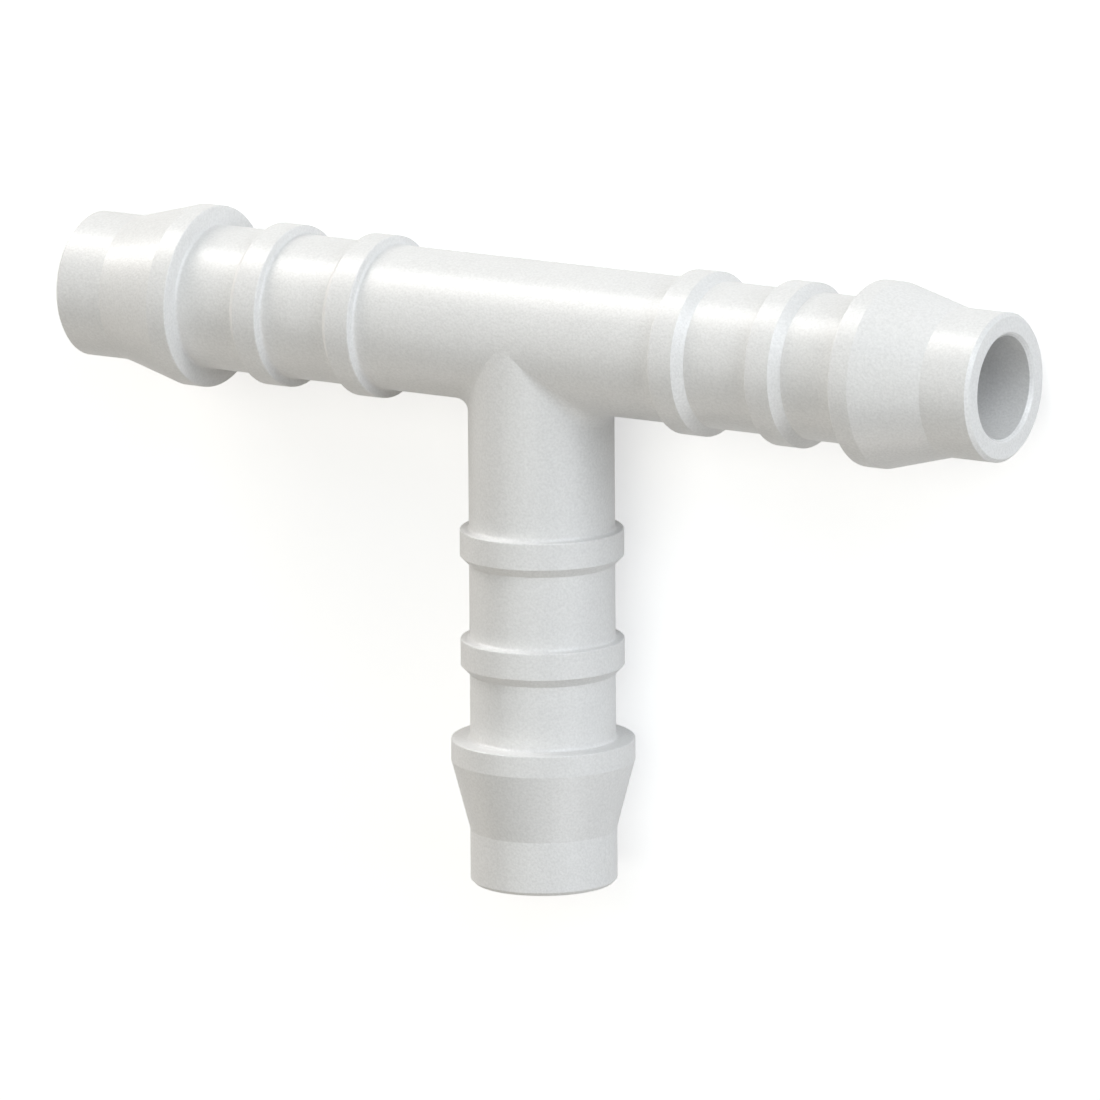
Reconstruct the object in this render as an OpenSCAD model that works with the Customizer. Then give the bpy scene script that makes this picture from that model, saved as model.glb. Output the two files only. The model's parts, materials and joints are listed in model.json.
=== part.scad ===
// Hose barb tee: one moulded fitting that joins three hoses of 10 mm bore.
// The run lies along X, the branch points along -Y, and the origin is where their axes cross.

/* [Tube] */
// Outer diameter of the plain tube between the rings
tube_d = 10; // [9:0.05:10.4]
// Diameter of the flow passage, the same in all three arms
bore_d = 7; // [4:0.05:8.4]
// End to end length of the straight run
run_length = 73.7; // [64:0.1:120]
// Length of the branch, from the axis of the run to its tip
branch_length = 38.2; // [32:0.1:80]
// Radius of the fillet where the branch leaves the run
junction_r = 1.3; // [0.6:0.05:2.5]

/* [Barb] */
// Diameter of the main barb at its widest
barb_d = 12.65; // [11.6:0.05:14]
// Width of the level land on top of the main barb
barb_land = 1.5; // [0.6:0.05:3]
// Length of the taper from the land down to the nose
barb_taper = 4.85; // [3:0.05:7]
// Diameter of the straight nose that enters the hose first
nose_d = 10.1; // [9.4:0.05:10.8]
// Length of the straight nose
nose_length = 3.75; // [2:0.05:6]
// Bevel round the outer edge of the tip
tip_bevel = 0.25; // [0.1:0.05:0.5]
// Bevel round the mouth of the passage
mouth_bevel = 0.25; // [0.1:0.05:0.5]

/* [Rings] */
// Diameter of the two grip rings behind the main barb
ring_d = 11.25; // [10.9:0.05:12]
// Width of the level land on top of a ring
ring_land = 1.85; // [0.8:0.05:3]
// Distance between the shoulders of the main barb and of the front ring
front_ring_gap = 7; // [4.5:0.05:9]
// Distance between the shoulders of the front ring and of the rear ring
rear_ring_gap = 7.65; // [4.5:0.05:9]

/* [Shoulders] */
// Fillet in the corner between a shoulder and the tube
root_r = 0.2; // [0.1:0.05:0.4]
// Rounding on the outer edge of a shoulder
rim_r = 0.1; // [0.05:0.01:0.2]

/* [Hidden] */

tube_r = tube_d / 2;
bore_r = bore_d / 2;
nose_r = nose_d / 2;
half_run = run_length / 2;

// Distances from the tip back to each shoulder
barb_back = nose_length + barb_taper + barb_land;
front_ring_back = barb_back + front_ring_gap;
rear_ring_back = front_ring_back + rear_ring_gap;

// Flats round each turned surface, and steps round each small rounding
round_steps = 96;
corner_steps = 4;

// The junction fillet is drawn as sections, each a quarter turn or less of the ball that rolls in the corner.
// Above the last section it runs out, and its tip is sunk below the crease there.
section_step = 4;
section_end = 72;
fillet_tip = 79;
arc_steps = 6;
// How far the edges and tips of the fillet sink into the tubes, so that the solids join without a gap
fillet_bite = 0.006;
tip_bite = 0.03;
// Depth of the inner edge of the fillet below the corner that it fills, as a multiple of its radius
fillet_root = 1.5;
// Extra length of each cut past the face that it opens
overshoot = 1;

quarter = 90;

// Points of an arc, from angle a0 to angle a1 about a centre
function arc_points(centre, r, a0, a1) =
    [for (i = [0 : corner_steps])
        let (a = a0 + (a1 - a0) * i / corner_steps)
        centre + r * [cos(a), sin(a)]];

// A square shoulder at height h: fillet up from the tube, flat face, rounded rim, as [radius, height]
function shoulder_points(h, top_r) = concat(
    arc_points([tube_r + root_r, h - root_r], root_r, 2 * quarter, quarter),
    arc_points([top_r - rim_r, h + rim_r], rim_r, -quarter, 0));

// A grip ring: square shoulder, level land, then a 45 degree bevel back down to the tube
function ring_points(h) =
    let (top_r = ring_d / 2, land_end = h + ring_land)
    concat(
        shoulder_points(h, top_r),
        [[top_r, land_end], [tube_r, land_end + top_r - tube_r]]);

// The main barb with its taper and nose, out to the bevelled tip
function barb_points(tip) =
    let (h = tip - barb_back, top_r = barb_d / 2)
    concat(
        shoulder_points(h, top_r),
        [
            [top_r, h + barb_land],
            [nose_r, h + barb_land + barb_taper],
            [nose_r, tip - tip_bevel],
            [nose_r - tip_bevel, tip]
        ]);

// Outer outline of one arm, from its first ring to its tip
function arm_points(tip) = concat(
    ring_points(tip - rear_ring_back),
    ring_points(tip - front_ring_back),
    barb_points(tip));

function mirrored(points) = [for (i = [len(points) - 1 : -1 : 0]) [points[i].x, -points[i].y]];

// The solid run, with an arm on each side of the origin
module run_solid() {
    outline = arm_points(half_run);
    rotate([0, quarter, 0])
        rotate_extrude($fn = round_steps)
            polygon(concat([[0, -half_run]], mirrored(outline), outline, [[0, half_run]]));
}

// The solid branch, which starts on the axis of the run
module branch_solid()
    rotate([quarter, 0, 0])
        rotate_extrude($fn = round_steps)
            polygon(concat([[0, 0], [tube_r, 0]], arm_points(branch_length), [[0, branch_length]]));

// Bevel that opens the mouth of a passage at height tip
module mouth_cut(tip)
    translate([0, 0, tip - mouth_bevel])
        cylinder(
            h = mouth_bevel + overshoot,
            r1 = bore_r,
            r2 = bore_r + mouth_bevel + overshoot,
            $fn = round_steps);

// The passage through the run, open at both tips
module run_passage()
    rotate([0, quarter, 0]) {
        cylinder(h = run_length + 2 * overshoot, r = bore_r, center = true, $fn = round_steps);
        mouth_cut(half_run);
        mirror([0, 0, 1])
            mouth_cut(half_run);
    }

// The passage down the branch, which opens into the run
module branch_passage()
    rotate([quarter, 0, 0]) {
        cylinder(h = branch_length + overshoot, r = bore_r, $fn = round_steps);
        mouth_cut(branch_length);
    }

// One section of the junction fillet. A ball of radius junction_r rests against both tubes, its centre
// at the given angle up from the XY plane. The section is the arc between its two points of contact,
// closed by a point inside the tubes.
function fillet_section(angle) =
    let (
        reach = tube_r + junction_r,
        centre = reach * [cos(angle), -cos(angle), sin(angle)],
        to_run = [0, cos(angle), -sin(angle)],
        to_branch = [-cos(angle), 0, -sin(angle)],
        spread = acos(sin(angle) * sin(angle)),
        on_run = centre + junction_r * to_run,
        on_branch = centre + junction_r * to_branch
    )
    concat(
        [centre + fillet_root * junction_r * (to_run + to_branch)],
        [on_run + fillet_bite * to_run],
        [for (i = [1 : arc_steps - 1])
            let (a = spread * i / arc_steps)
            centre + junction_r * (sin(spread - a) * to_run + sin(a) * to_branch) / sin(spread)],
        [on_branch + fillet_bite * to_branch]);

// Point on the crease where the two tubes meet, at the given angle up from the XY plane
function crease_point(angle, r) = r * [cos(angle), -cos(angle), sin(angle)];

// The fillet in the corner on the +X side of the branch, from below the run to above it
module corner_fillet() {
    sections = [for (angle = [-section_end : section_step : section_end]) fillet_section(angle)];
    count = len(sections);
    size = len(sections[0]);
    tip_r = tube_r - tip_bite;
    low_tip = count * size;
    high_tip = low_tip + 1;
    last = (count - 1) * size;
    sides = [
        for (i = [0 : count - 2])
            for (j = [0 : size - 1])
                let (
                    a = i * size + j,
                    b = i * size + (j + 1) % size
                )
                each [[a, b, b + size], [a, b + size, a + size]]
    ];
    ends = [
        for (j = [0 : size - 1])
            let (next = (j + 1) % size)
            each [[next, j, low_tip], [last + j, last + next, high_tip]]
    ];
    polyhedron(
        points = concat(
            [for (section = sections) each section],
            [crease_point(-fillet_tip, tip_r), crease_point(fillet_tip, tip_r)]),
        faces = concat(sides, ends));
}

module tee_body()
    color("whitesmoke")
        difference() {
            union() {
                run_solid();
                branch_solid();
                corner_fillet();
                mirror([1, 0, 0])
                    corner_fillet();
            }
            run_passage();
            branch_passage();
        }

tee_body();
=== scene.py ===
import json
from math import cos, pi, radians, sin, tan

import bpy
from mathutils import Matrix, Vector


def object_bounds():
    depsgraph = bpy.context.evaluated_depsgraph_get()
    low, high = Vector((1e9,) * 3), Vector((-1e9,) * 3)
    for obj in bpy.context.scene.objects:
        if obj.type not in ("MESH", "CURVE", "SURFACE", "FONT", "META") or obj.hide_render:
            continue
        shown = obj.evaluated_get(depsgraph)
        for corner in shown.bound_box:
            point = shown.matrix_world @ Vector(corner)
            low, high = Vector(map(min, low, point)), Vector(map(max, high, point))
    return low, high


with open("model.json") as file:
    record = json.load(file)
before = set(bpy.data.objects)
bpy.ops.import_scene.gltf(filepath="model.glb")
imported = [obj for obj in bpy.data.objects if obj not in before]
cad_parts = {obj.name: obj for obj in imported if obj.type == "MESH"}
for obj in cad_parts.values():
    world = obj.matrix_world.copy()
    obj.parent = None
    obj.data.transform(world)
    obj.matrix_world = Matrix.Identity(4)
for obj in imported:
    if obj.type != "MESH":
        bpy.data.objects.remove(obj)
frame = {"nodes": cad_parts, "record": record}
cad_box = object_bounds()

# The tee: one injection-moulded plastic body, three barbed arms with a passage through each.
# The plastic is a satin white. The spark-eroded mould leaves a very fine grain, whose hollows get a
# little painted shade in the colour, and the core pins, which every part rubs, leave the passages a
# little smoother.
mm = 0.001
tee = frame["nodes"]["tee_body"]
run_bore = next(mount for mount in frame["record"]["mounts"] if mount["name"] == "run_bore")
bore_r = run_bore["dims"]["r_mm"] * mm
mouth_bevel = 0.25 * mm
grain_size = 0.17 * mm
grain_depth = 0.018 * mm
grain_painted_shade = 1.7
ripple_size = 3.0 * mm
ripple_depth = 0.002 * mm
cloud_size = 6.0 * mm
cloud_shade = 0.25
plastic_light = (0.86, 0.855, 0.848, 1)
plastic_dark = (0.73, 0.725, 0.718, 1)
plastic_ior = 1.55
outer_roughness = 0.31
passage_roughness = 0.24
roughness_spread = 0.08


def noise(nodes, links, position, size, detail, name):
    texture = nodes.new("ShaderNodeTexNoise")
    texture.name = texture.label = name
    texture.inputs["Scale"].default_value = 1 / size
    texture.inputs["Detail"].default_value = detail
    links.new(position, texture.inputs["Vector"])
    return texture.outputs["Fac"]


def maths(nodes, links, operation, first, second):
    step = nodes.new("ShaderNodeMath")
    step.operation = operation
    for socket, value in zip(step.inputs, (first, second)):
        if isinstance(value, float):
            socket.default_value = value
        else:
            links.new(value, socket)
    return step.outputs["Value"]


def moulded_plastic():
    material = bpy.data.materials.new("satin_white_plastic")
    material.use_nodes = True
    nodes, links = material.node_tree.nodes, material.node_tree.links
    shader = nodes["Principled BSDF"]
    shader.inputs["IOR"].default_value = plastic_ior

    place = nodes.new("ShaderNodeTexCoord").outputs["Object"]
    apart = nodes.new("ShaderNodeSeparateXYZ")
    links.new(place, apart.inputs["Vector"])
    x, y, z = apart.outputs

    def from_axis(across, up):
        squares = [maths(nodes, links, "MULTIPLY", side, side) for side in (across, up)]
        total = maths(nodes, links, "ADD", *squares)
        return maths(nodes, links, "SQRT", total, 0.0)

    # The branch's passage counts only on the branch's side of the run, where y is negative.
    run_distance = from_axis(y, z)
    branch_distance = from_axis(x, z)
    past_run = maths(nodes, links, "GREATER_THAN", y, 0.0)
    branch_distance = maths(nodes, links, "ADD", branch_distance, past_run)
    nearest = maths(nodes, links, "MINIMUM", run_distance, branch_distance)
    outside = maths(nodes, links, "GREATER_THAN", nearest, bore_r + mouth_bevel / 2)

    # Noise lies round 0.5. The grain is shifted to lie round 0, above and below the smooth surface.
    ripple = noise(nodes, links, place, ripple_size, 1, "mould_ripple")
    cloud = noise(nodes, links, place, cloud_size, 3, "melt_clouding")
    grain = noise(nodes, links, place, grain_size, 2, "spark_grain")
    grain = maths(nodes, links, "SUBTRACT", grain, 0.5)

    tone = nodes.new("ShaderNodeMapRange")
    tone.inputs["To Min"].default_value = 0.5 - cloud_shade / 2
    tone.inputs["To Max"].default_value = 0.5 + cloud_shade / 2
    links.new(cloud, tone.inputs["Value"])
    # Painted shade: the grain's hollows are painted a little darker, over a random clouding of the
    # melt.
    cloud_and_painted_shade = maths(nodes, links, "MULTIPLY", grain, grain_painted_shade)
    cloud_and_painted_shade = maths(nodes, links, "ADD", cloud_and_painted_shade, tone.outputs["Result"])
    colour = nodes.new("ShaderNodeMix")
    colour.data_type = "RGBA"
    colour.inputs["A"].default_value = plastic_dark
    colour.inputs["B"].default_value = plastic_light
    links.new(cloud_and_painted_shade, colour.inputs["Factor"])
    links.new(colour.outputs["Result"], shader.inputs["Base Color"])

    roughness = nodes.new("ShaderNodeMapRange")
    roughness.inputs["To Min"].default_value = passage_roughness
    roughness.inputs["To Max"].default_value = outer_roughness
    links.new(outside, roughness.inputs["Value"])
    spread = maths(nodes, links, "MULTIPLY", grain, roughness_spread)
    total = maths(nodes, links, "ADD", roughness.outputs["Result"], spread)
    links.new(total, shader.inputs["Roughness"])

    height = maths(nodes, links, "MULTIPLY", grain, grain_depth)
    wave = maths(nodes, links, "MULTIPLY", ripple, ripple_depth)
    height = maths(nodes, links, "ADD", height, wave)
    bump = nodes.new("ShaderNodeBump")
    bump.inputs["Strength"].default_value = 1
    bump.inputs["Distance"].default_value = 1
    links.new(height, bump.inputs["Height"])
    links.new(bump.outputs["Normal"], shader.inputs["Normal"])
    return material


tee.material_slots[0].material = moulded_plastic()

# The floor: a plain pale table top that the tee lies on.
# It is matt, takes the tee's soft shadow, and turns to even white from a hand's width away. The glow
# that whitens it near the tee is weaker in mirrored rays, so that the tee's white edges stay in sight.
floor_side = 6.0
floor_white = (0.82, 0.82, 0.82, 1)
floor_glow = 0.53
mirrored_share = 0.36
backdrop_white = (1, 1, 1, 1)
shadow_reach = 0.10
white_from = 0.30


def seen_directly(nodes, links):
    path = nodes.new("ShaderNodeLightPath").outputs
    either = maths(nodes, links, "MAXIMUM", path["Is Camera Ray"], path["Is Glossy Ray"])
    return maths(nodes, links, "MAXIMUM", either, path["Is Transmission Ray"])


def pale_table_top():
    material = bpy.data.materials.new("matt_white_table_top")
    material.use_nodes = True
    nodes, links = material.node_tree.nodes, material.node_tree.links
    nodes.remove(nodes["Principled BSDF"])
    matt = nodes.new("ShaderNodeBsdfDiffuse")
    matt.inputs["Color"].default_value = floor_white
    path = nodes.new("ShaderNodeLightPath").outputs
    in_view = maths(nodes, links, "MAXIMUM", path["Is Camera Ray"], path["Is Transmission Ray"])
    in_mirror = maths(nodes, links, "MULTIPLY", path["Is Glossy Ray"], mirrored_share)
    lit = maths(nodes, links, "MAXIMUM", in_view, in_mirror)
    glow = nodes.new("ShaderNodeEmission")
    links.new(maths(nodes, links, "MULTIPLY", lit, floor_glow), glow.inputs["Strength"])
    near = nodes.new("ShaderNodeAddShader")
    links.new(matt.outputs["BSDF"], near.inputs[0])
    links.new(glow.outputs["Emission"], near.inputs[1])
    white = nodes.new("ShaderNodeEmission")
    white.inputs["Color"].default_value = backdrop_white
    distance = nodes.new("ShaderNodeVectorMath")
    distance.operation = "LENGTH"
    links.new(nodes.new("ShaderNodeTexCoord").outputs["Object"], distance.inputs[0])
    fade = nodes.new("ShaderNodeMapRange")
    fade.interpolation_type = "SMOOTHSTEP"
    fade.inputs["From Min"].default_value = shadow_reach
    fade.inputs["From Max"].default_value = white_from
    links.new(distance.outputs["Value"], fade.inputs["Value"])
    blend = nodes.new("ShaderNodeMixShader")
    far = maths(nodes, links, "MULTIPLY", seen_directly(nodes, links), fade.outputs["Result"])
    links.new(far, blend.inputs["Fac"])
    links.new(near.outputs["Shader"], blend.inputs[1])
    links.new(white.outputs["Emission"], blend.inputs[2])
    links.new(blend.outputs["Shader"], nodes["Material Output"].inputs["Surface"])
    return material


def table_top():
    half = floor_side / 2
    level = cad_box[0].z
    corners = [(-half, -half, level), (half, -half, level), (half, half, level), (-half, half, level)]
    mesh = bpy.data.meshes.new("floor")
    mesh.from_pydata(corners, [], [(0, 1, 2, 3)])
    mesh.materials.append(pale_table_top())
    floor = bpy.data.objects.new("floor", mesh)
    bpy.context.scene.collection.objects.link(floor)
    return floor


table_top()

# The studio: a white surround, and soft boxes that stand round the table or hang over it.
# Each faces the tee. Its heading turns from +X towards +Y, and it fills the view from the tee
# between two heights, all in degrees. The long bright band on the run mirrors the one behind it.
ambient_colour = (1, 1, 1, 1)
ambient_strength = 0.01
box_distance = 0.6


def surround():
    world = bpy.data.worlds.new("white_surround")
    bpy.context.scene.world = world
    world.use_nodes = True
    nodes, links = world.node_tree.nodes, world.node_tree.links
    dim = nodes["Background"]
    dim.inputs["Color"].default_value = ambient_colour
    dim.inputs["Strength"].default_value = ambient_strength
    white = nodes.new("ShaderNodeBackground")
    white.inputs["Color"].default_value = backdrop_white
    choose = nodes.new("ShaderNodeMixShader")
    links.new(seen_directly(nodes, links), choose.inputs["Fac"])
    links.new(dim.outputs["Background"], choose.inputs[1])
    links.new(white.outputs["Background"], choose.inputs[2])
    links.new(choose.outputs["Shader"], nodes["World Output"].inputs["Surface"])


def soft_box(name, heading, low, high, spread, brightness, colour):
    lift = radians((low + high) / 2)
    turn = radians(heading)
    towards = Vector((cos(turn) * cos(lift), sin(turn) * cos(lift), sin(lift)))
    lamp = bpy.data.lights.new(name, "AREA")
    lamp.shape = "RECTANGLE"
    lamp.size = 2 * box_distance * tan(radians(spread / 2))
    lamp.size_y = 2 * box_distance * tan(radians((high - low) / 2))
    lamp.energy = brightness * pi * lamp.size * lamp.size_y
    lamp.color = colour
    box = bpy.data.objects.new(name, lamp)
    bpy.context.scene.collection.objects.link(box)
    box.location = box_distance * towards
    box.rotation_euler = towards.to_track_quat("Z", "Y").to_euler()
    box.visible_camera = False


surround()
soft_box("band_foot_box", 135, 0.3, 3, 46, 7.0, (1, 1, 0.99))
soft_box("band_box", 135, 3, 13, 46, 7.9, (1, 0.98, 0.96))
soft_box("over_band_box", 135, 13, 28, 46, 3.0, (1, 0.94, 0.85))
soft_box("right_low_box", 15, 1, 9, 30, 3.5, (0.92, 0.95, 1))
soft_box("right_box", 15, 9, 24, 30, 5.5, (0.91, 0.95, 1))
soft_box("back_right_low_box", 48, 1, 9, 36, 1.5, (0.98, 1, 1))
soft_box("back_right_box", 48, 9, 24, 36, 4.0, (0.93, 0.97, 1))
soft_box("front_left_box", 225, 1, 27, 44, 0.46, (1, 0.9, 0.72))
soft_box("front_box", 270, 1, 27, 44, 0.83, (1, 0.9, 0.77))
soft_box("front_right_box", 315, 1, 27, 30, 1.13, (0.94, 0.97, 1))
soft_box("high_box", 60, 28, 56, 50, 0.95, (0.72, 0.86, 1))
soft_box("top_box", 0, 62, 118, 56, 1.32, (1, 0.99, 0.93))

# The camera: a long lens that looks down on the tee from the right, a little from the side that
# the branch points away from, turned so that the branch points down the picture.
camera_side = radians(32.8196)
camera_lift = radians(11.9059)
camera_roll = radians(0.3562)
camera_distance = 865.418 * mm
aim_right = 0.6344 * mm
aim_up = -14.7123 * mm
lens_mm = 415.909
sensor_mm = 36
nearest_seen = 10 * mm


def long_lens():
    flat = cos(camera_lift)
    back = Vector((flat * sin(camera_side), sin(camera_lift), flat * cos(camera_side)))
    level = Vector((0, 1, 0)).cross(back).normalized()
    above = back.cross(level)
    right = cos(camera_roll) * level - sin(camera_roll) * above
    up = sin(camera_roll) * level + cos(camera_roll) * above
    lens = bpy.data.cameras.new("long_lens")
    lens.lens = lens_mm
    lens.sensor_width = sensor_mm
    lens.clip_start = nearest_seen
    camera = bpy.data.objects.new("camera", lens)
    bpy.context.scene.collection.objects.link(camera)
    place = back * camera_distance + right * aim_right + up * aim_up
    camera.matrix_world = Matrix.Translation(place) @ Matrix((right, up, back)).transposed().to_4x4()
    bpy.context.scene.camera = camera


long_lens()
bpy.context.scene.view_settings.view_transform = "Standard"
